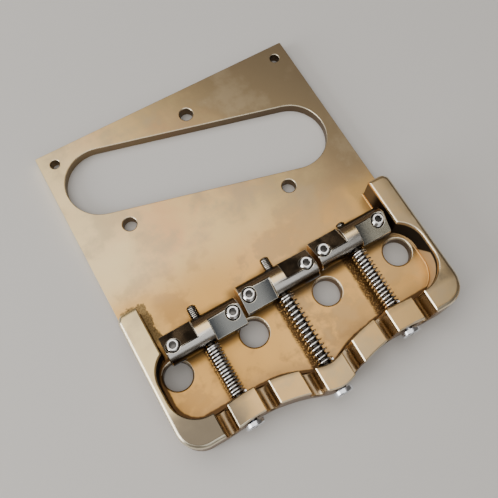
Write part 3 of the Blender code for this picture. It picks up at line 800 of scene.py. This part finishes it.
def facet_cutters(bass_half_faces, half_length):
    """Two boxes whose lower faces are the flats on a saddle's two halves."""
    bm = bmesh.new()
    size = 3 * SADDLE_RADIUS
    length = half_length - FACET_MIDDLE / 2 + CUTTER_REACH
    for side in (-1, 1):
        lean = side * bass_half_faces * FACET_TILT
        middle = side * (FACET_MIDDLE / 2 + length / 2)
        place = Matrix.Rotation(lean, 4, "X")
        place @= Matrix.Translation((middle, 0, FACET_OFFSET + size / 2))
        place @= Matrix.Diagonal((length, size, size, 1))
        bmesh.ops.create_cube(bm, size=1, matrix=place)
    return bm


def saddle_bores(half_length):
    bm = bmesh.new()
    reach = SADDLE_RADIUS + CUTTER_REACH
    for side in (-1, 1):
        place = Matrix.Translation((side * (half_length - HEIGHT_SCREW_INSET), 0, 0))
        radius = HEIGHT_BORE_RADIUS
        turned(bm, ((0, -reach), (radius, -reach), (radius, reach), (0, reach)), 48, place)
    radius = INTONATION_BORE_RADIUS
    profile = ((0, -reach), (radius, -reach), (radius, reach), (0, reach))
    turned(bm, profile, 48, Matrix.Rotation(-math.pi / 2, 4, "X"))
    return bm


def break_edges(mesh, width):
    """Bevel a milled mesh's sharp edges so that they catch the light."""
    bm = bmesh.new()
    bm.from_mesh(mesh)
    bmesh.ops.remove_doubles(bm, verts=bm.verts, dist=1e-6)
    bmesh.ops.dissolve_limit(
        bm, angle_limit=math.radians(0.5), verts=bm.verts, edges=bm.edges,
        use_dissolve_boundaries=False,
    )
    sharp = [e for e in bm.edges if e.is_manifold and e.calc_face_angle() > SHARP_ANGLE]
    worn_and_lit = bm.faces.layers.float.new("edge_wear")
    broken = bmesh.ops.bevel(
        bm, geom=sharp, offset=width, offset_type="OFFSET", segments=2, profile=0.5,
        affect="EDGES", clamp_overlap=False, material=-1,
    )
    # The bevels' faces are marked for wear and a painted highlight.
    for face in broken["faces"]:
        face[worn_and_lit] = 1.0
    bm.to_mesh(mesh)
    bm.free()


def saddle(index):
    name = "saddle_" + SADDLE_NAMES[index]
    lowest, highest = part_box(name)
    half = (highest[0] - lowest[0]) / 2
    middle = [(low + high) / 2 for low, high in zip(lowest, highest)]
    edge = SADDLE_END_CHAMFER
    bm = bmesh.new()
    profile = (
        (0, -half),
        (SADDLE_RADIUS - edge, -half),
        (SADDLE_RADIUS, -half + edge),
        (SADDLE_RADIUS, half - edge),
        (SADDLE_RADIUS - edge, half),
        (0, half),
    )
    turned(bm, profile, SADDLE_STEPS, Matrix.Rotation(math.pi / 2, 4, "Y"))
    cutters = [facet_cutters(BASS_HALF_FACES[index], half), saddle_bores(half)]
    mesh = milled(name, bm, cutters)
    break_edges(mesh, SADDLE_EDGE_BREAK)
    tilt = math.sin(FACET_TILT)
    mark(mesh, "front_flat", lambda face: float(abs(face.normal.y - tilt) < 1e-3))
    mark(mesh, "rear_flat", lambda face: float(abs(face.normal.y + tilt) < 1e-3))
    mark(mesh, "toward_front", lambda face: 0.5 + 0.5 * face.normal.y)
    mesh.transform(Matrix.Translation((middle[0], middle[1], AXIS_Z)))
    return mesh


BARREL_STEEL = (0.74, 0.71, 0.66, 1)
BARREL_SHADE = (0.035, 0.03, 0.025, 1)
BARREL_TAN = (0.66, 0.44, 0.25, 1)
FRONT_FLAT_BROWN = (0.60, 0.44, 0.28, 1)
FRONT_FLAT_DARK = (0.13, 0.10, 0.07, 1)
REAR_FLAT_GREY = (0.33, 0.33, 0.31, 1)
REAR_FLAT_BLUE = (0.045, 0.05, 0.056, 1)
GOLD_HIGHLIGHT = (1.0, 0.74, 0.40, 1)
TREBLE_FLAT_OLIVE = (0.92, 0.86, 0.66, 1)
WORN_EDGE_HIGHLIGHT = (0.96, 0.90, 0.76, 1)

gunmetal, gunmetal_shader, wire = metal("gunmetal", 0.20)
place, (x, y, z) = coordinates(wire)
front_flat = marked(wire, "front_flat")
rear_flat = marked(wire, "rear_flat")
rubbed_and_lit = marked(wire, "edge_wear")
stretch = {"Location": (0, 0, 0), "Rotation": (0, 0, 0), "Scale": (1, 0.06, 1)}
across = wire.node("ShaderNodeMapping", {}, {"Vector": place, **stretch})
strokes = noise(wire, across, 5200, 3)
film = noise(wire, place, 300, 4)
from_middle = abs(wire.math("WRAP", x, SADDLE_PITCH / 2, -SADDLE_PITCH / 2))
above_axis = z - AXIS_Z
toward_front = marked(wire, "toward_front")
# Painted shade: the barrel is dark below its axis and on faces that turn to the front, bright steel above
# it.
colour = tint(wire, spread(wire, above_axis, 0.0017, 0.0031), BARREL_SHADE, BARREL_STEEL)
colour = tint(wire, spread(wire, toward_front, 0.40, 0.54), colour, BARREL_TAN)
# Painted highlight: a bright gold band on the top of the uncut middle.
uncut = spread(wire, from_middle, FACET_MIDDLE / 2 + 0.0001, FACET_MIDDLE / 2 - 0.0001)
gold_highlight_band = spread(wire, toward_front, 0.36, 0.46) * spread(wire, toward_front, 0.72, 0.60)
colour = tint(wire, uncut * gold_highlight_band, colour, GOLD_HIGHLIGHT)
colour = tint(wire, spread(wire, toward_front, 0.70, 0.88), colour, BARREL_SHADE)
# Painted reflections on the flats: the front flats dark brown and the rear flats blue-black, both lighter
# towards the saddle's ends, the treble saddle's rear flats lighter still.
outward = spread(wire, from_middle + 0.002 * strokes, 0.0020, 0.0075)
brown = tint(wire, outward * spread(wire, film, 0.35, 0.65), FRONT_FLAT_DARK, FRONT_FLAT_BROWN)
colour = tint(wire, front_flat, colour, brown)
blue = tint(wire, outward, REAR_FLAT_BLUE, REAR_FLAT_GREY)
colour = tint(wire, rear_flat, colour, blue)
light = spread(wire, x, 0.0150, 0.0300) * outward
colour = tint(wire, rear_flat * light * 0.8, colour, TREBLE_FLAT_OLIVE)
# Painted highlight: the bevelled edges are bright on the saddle's upper half.
colour = tint(wire, rubbed_and_lit * spread(wire, above_axis, -0.0005, 0.0008), colour, WORN_EDGE_HIGHLIGHT)
feed(colour, gunmetal_shader, "Base Color")
flats = front_flat + rear_flat
feed(0.20 - 0.05 * flats + 0.10 * film + 0.14 * strokes * rear_flat, gunmetal_shader, "Roughness")
bump = wire.node("ShaderNodeBump", {}, {"Strength": 0.10, "Distance": 0.00004, "Height": strokes})
feed(bump, gunmetal_shader, "Normal")

for index, side in enumerate(SADDLE_NAMES):
    name = "saddle_" + side
    piece = finished(name + "_barrel", saddle(index), gunmetal, name, name)


# Screws. Bright steel with real threads: six headless ones with hexagon sockets stand in the
# saddles' ends, and three long ones with cross heads come through the rear wall.
HEIGHT_SCREW_RADIUS = 0.0015
HEIGHT_SCREW_EDGE = 0.0002
HEIGHT_SCREW_POINT = 0.0006
HEIGHT_PITCH = 0.0005
HEX_ACROSS_FLATS = 0.0015
HEX_DEPTH = 0.0018
HEX_MOUTH = 0.00008
INTONATION_RADIUS = 0.0013
INTONATION_PITCH = 0.00045
INTONATION_TIP = 0.0004
THREAD_DEPTH = 0.6
HEAD_RADIUS = 0.00245
HEAD_THICKNESS = 0.0012
HEAD_ROUND = 0.0004
CROSS_LENGTH = 0.0026
CROSS_WIDTH = 0.0006
CROSS_DEPTH = 0.0007
THREAD_STEPS = 24


def threaded_rod(radius, pitch, length, point, edge):
    """Threaded rod along Z from 0, with a pointed start and a broken end."""
    bm = bmesh.new()
    depth = THREAD_DEPTH * pitch
    turns = math.ceil(length / pitch) + 3
    heights = [(i / 2 - 2) * pitch for i in range(2 * turns + 1)]
    profile = [(radius - depth * (i % 2), height) for i, height in enumerate(heights)]
    corners = [bm.verts.new((r, 0, height)) for r, height in profile]
    edges = [bm.edges.new(pair) for pair in zip(corners, corners[1:])]
    bmesh.ops.spin(
        bm, geom=corners + edges, cent=(0, 0, 0), axis=(0, 0, 1), angle=2 * math.pi,
        dvec=(0, 0, pitch / THREAD_STEPS), steps=THREAD_STEPS,
    )
    bmesh.ops.remove_doubles(bm, verts=bm.verts, dist=1e-6)
    for height, outward in ((0, -1), (length, 1)):
        bmesh.ops.bisect_plane(
            bm, geom=bm.verts[:] + bm.edges[:] + bm.faces[:], dist=1e-7,
            plane_co=(0, 0, height), plane_no=(0, 0, outward), clear_outer=True,
        )
    bmesh.ops.holes_fill(bm, edges=[e for e in bm.edges if e.is_boundary], sides=0)
    for vert in bm.verts:
        from_end = min(vert.co.z / point, (length - vert.co.z) / edge, 1.0)
        limit = radius - (1 - from_end) * (point if vert.co.z < length / 2 else edge)
        reach = math.hypot(vert.co.x, vert.co.y)
        if reach > limit:
            vert.co.x *= limit / reach
            vert.co.y *= limit / reach
    return bm


def hexagon_socket(top):
    """Cutter for the socket, six-sided, with a round countersink at its mouth."""
    bm = bmesh.new()
    corner = HEX_ACROSS_FLATS / math.sqrt(3)
    depth = HEX_DEPTH + CUTTER_REACH
    bmesh.ops.create_cone(
        bm, cap_ends=True, segments=6, radius1=corner, radius2=corner, depth=depth,
        matrix=Matrix.Translation((0, 0, top + CUTTER_REACH - depth / 2)),
    )
    mouth = bmesh.new()
    reach = corner + HEX_MOUTH + CUTTER_REACH
    turned(mouth, ((0, top - reach + CUTTER_REACH), (reach, top + CUTTER_REACH), (0, top + CUTTER_REACH)),
           THREAD_STEPS)
    return [bm, mouth]


def height_screw(number):
    lowest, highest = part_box(f"height_screw_{number}")
    length = highest[2] - lowest[2]
    rod = threaded_rod(
        HEIGHT_SCREW_RADIUS, HEIGHT_PITCH, length, HEIGHT_SCREW_POINT, HEIGHT_SCREW_EDGE,
    )
    mesh = milled(f"height_screw_{number}", rod, hexagon_socket(length))
    hollow = HEX_ACROSS_FLATS / math.sqrt(3) + 0.00002
    mark(mesh, "socket", lambda face: float(
        math.hypot(face.center.x, face.center.y) < hollow
        and HEIGHT_SCREW_POINT < face.center.z < length - 1e-5
    ))
    middle = [(low + high) / 2 for low, high in zip(lowest, highest)]
    mesh.transform(Matrix.Translation((middle[0], middle[1], lowest[2])))
    return mesh


def screw_head():
    """Low round head below z = 0, its top rounded, with a cross recess."""
    bm = bmesh.new()
    bend = arc(HEAD_RADIUS - HEAD_ROUND, HEAD_ROUND - HEAD_THICKNESS, HEAD_ROUND,
               -math.pi / 2, 0, ROUNDING_STEPS)
    turned(bm, [(0, -HEAD_THICKNESS)] + bend + [(HEAD_RADIUS, 0), (0, 0)], 64)
    cutters = []
    for size_x, size_y in ((CROSS_LENGTH, CROSS_WIDTH), (CROSS_WIDTH, CROSS_LENGTH)):
        slot = bmesh.new()
        depth = CROSS_DEPTH + CUTTER_REACH
        place = Matrix.Translation((0, 0, -HEAD_THICKNESS + CROSS_DEPTH - depth / 2))
        place @= Matrix.Diagonal((size_x, size_y, depth, 1))
        bmesh.ops.create_cube(slot, size=1, matrix=place)
        cutters.append(slot)
    return milled("screw_head", bm, cutters)


def intonation_screw(side):
    lowest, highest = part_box("intonation_screw_" + side)
    middle_x = (lowest[0] + highest[0]) / 2
    seat_y = lowest[1] + HEAD_THICKNESS
    length = highest[1] - seat_y
    bm = threaded_rod(INTONATION_RADIUS, INTONATION_PITCH, length, INTONATION_TIP, INTONATION_TIP)
    bmesh.ops.scale(bm, vec=(1, 1, -1), verts=bm.verts)
    bmesh.ops.translate(bm, vec=(0, 0, length), verts=bm.verts)
    bm.from_mesh(screw_head())
    place = Matrix.Translation((middle_x, seat_y, AXIS_Z))
    place @= Matrix.Rotation(-math.pi / 2, 4, "X")
    bmesh.ops.transform(bm, matrix=place, verts=bm.verts)
    mesh = mesh_from("intonation_screw", bm)
    mark(mesh, "socket", lambda face: float(
        math.hypot(face.center.x - middle_x, face.center.z - AXIS_Z) < CROSS_LENGTH / 2 + 1e-5
        and lowest[1] + 1e-5 < face.center.y < seat_y - 1e-4
    ))
    return mesh


BRIGHT_STEEL = (0.88, 0.87, 0.85, 1)
BRIGHT_STEEL_FILM = (0.66, 0.58, 0.47, 1)
SOCKET_DARK = (0.05, 0.045, 0.04, 1)
HEAD_BLUE = (0.80, 0.83, 0.88, 1)
THREAD_STEEL = (0.95, 0.93, 0.89, 1)
THREAD_GRIME_AND_SHADE = (0.09, 0.075, 0.06, 1)

bright, bright_shader, wire = metal("bright_steel", 0.22)
place, (x, y, z) = coordinates(wire)
film = spread(wire, noise(wire, place, 600, 4), 0.55, 0.85)
colour = tint(wire, film * 0.6, BRIGHT_STEEL, BRIGHT_STEEL_FILM)
# Painted shade: the hexagon sockets are dark.
feed(tint(wire, marked(wire, "socket") * 0.9, colour, SOCKET_DARK), bright_shader, "Base Color")
feed(0.12 + 0.14 * noise(wire, place, 1500, 4), bright_shader, "Roughness")

grimy_and_shaded, grimy_and_shaded_shader, wire = metal("grimy_and_shaded_thread", 0.28)
place, (x, y, z) = coordinates(wire)
from_axis = abs(wire.math("WRAP", x, SADDLE_PITCH / 2, -SADDLE_PITCH / 2))
from_axis = wire.math("SQRT", from_axis ** 2.0 + (z - AXIS_Z) ** 2.0)
# Grime and painted shade: the thread's grooves and the length inside the spring are darkened.
groove = spread(wire, from_axis, INTONATION_RADIUS - 0.00008, INTONATION_RADIUS - 0.00018)
under_spring = spread(wire, y, -0.0145, -0.0165)
colour = tint(wire, wire.math("MAXIMUM", groove * 0.9, under_spring * 0.8), THREAD_STEEL, THREAD_GRIME_AND_SHADE)
colour = tint(wire, spread(wire, y, -0.0405, -0.0415), colour, HEAD_BLUE)
# Painted shade: the cross recesses are dark.
colour = tint(wire, marked(wire, "socket") * 0.9, colour, SOCKET_DARK)
feed(colour, grimy_and_shaded_shader, "Base Color")
feed(0.16 + 0.12 * noise(wire, place, 1500, 4), grimy_and_shaded_shader, "Roughness")

for number in range(1, 7):
    finished(f"height_screw_{number}_thread", height_screw(number), bright, f"height_{number}",
             f"height_screw_{number}")
for side in SADDLE_NAMES:
    finished(f"intonation_screw_{side}_thread", intonation_screw(side), grimy_and_shaded, "screw_" + side,
             "intonation_screw_" + side)


# Springs. Close-wound bright wire on each long screw, pressed between the rear wall and the saddle, with its
# end turns closed.
SPRING_WIRE = 0.0005
SPRING_MEAN_RADIUS = 0.00182
SPRING_TURNS = 14
SPRING_END_TURNS = 1
SPRING_STEPS = 24
WIRE_STEPS = 10


def spring(side):
    """Coil along Y, wound about Z first, in three runs: an end turn, the open turns, an end turn."""
    lowest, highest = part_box("intonation_spring_" + side)
    length = highest[1] - lowest[1]
    bm = bmesh.new()
    section = bmesh.ops.create_circle(
        bm, cap_ends=True, segments=WIRE_STEPS, radius=SPRING_WIRE / 2,
        matrix=Matrix.Translation((SPRING_MEAN_RADIUS, 0, SPRING_WIRE / 2))
        @ Matrix.Rotation(math.pi / 2, 4, "X"),
    )
    ring = section["verts"]
    last = bm.faces[:] + list({edge for vert in ring for edge in vert.link_edges}) + ring
    closed_rise = SPRING_WIRE * SPRING_END_TURNS
    open_rise = length - SPRING_WIRE - 2 * closed_rise
    for turns, rise in (
        (SPRING_END_TURNS, closed_rise), (SPRING_TURNS, open_rise), (SPRING_END_TURNS, closed_rise),
    ):
        steps = SPRING_STEPS * turns
        last = bmesh.ops.spin(
            bm, geom=last, cent=(0, 0, 0), axis=(0, 0, 1), angle=2 * math.pi * turns,
            dvec=(0, 0, rise / steps), steps=steps,
        )["geom_last"]
    middle_x = (lowest[0] + highest[0]) / 2
    place = Matrix.Translation((middle_x, lowest[1], AXIS_Z)) @ Matrix.Rotation(-math.pi / 2, 4, "X")
    bmesh.ops.transform(bm, matrix=place, verts=bm.verts)
    return mesh_from("spring", bm), lowest[1], highest[1], middle_x


for side in SADDLE_NAMES:
    mesh, rear_y, front_y, middle_x = spring(side)
    piece = finished(f"spring_{side}_coil", mesh, bright, None,
                     "intonation_spring_" + side)
    "spring_" + side
    "saddle_" + side
    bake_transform(piece)
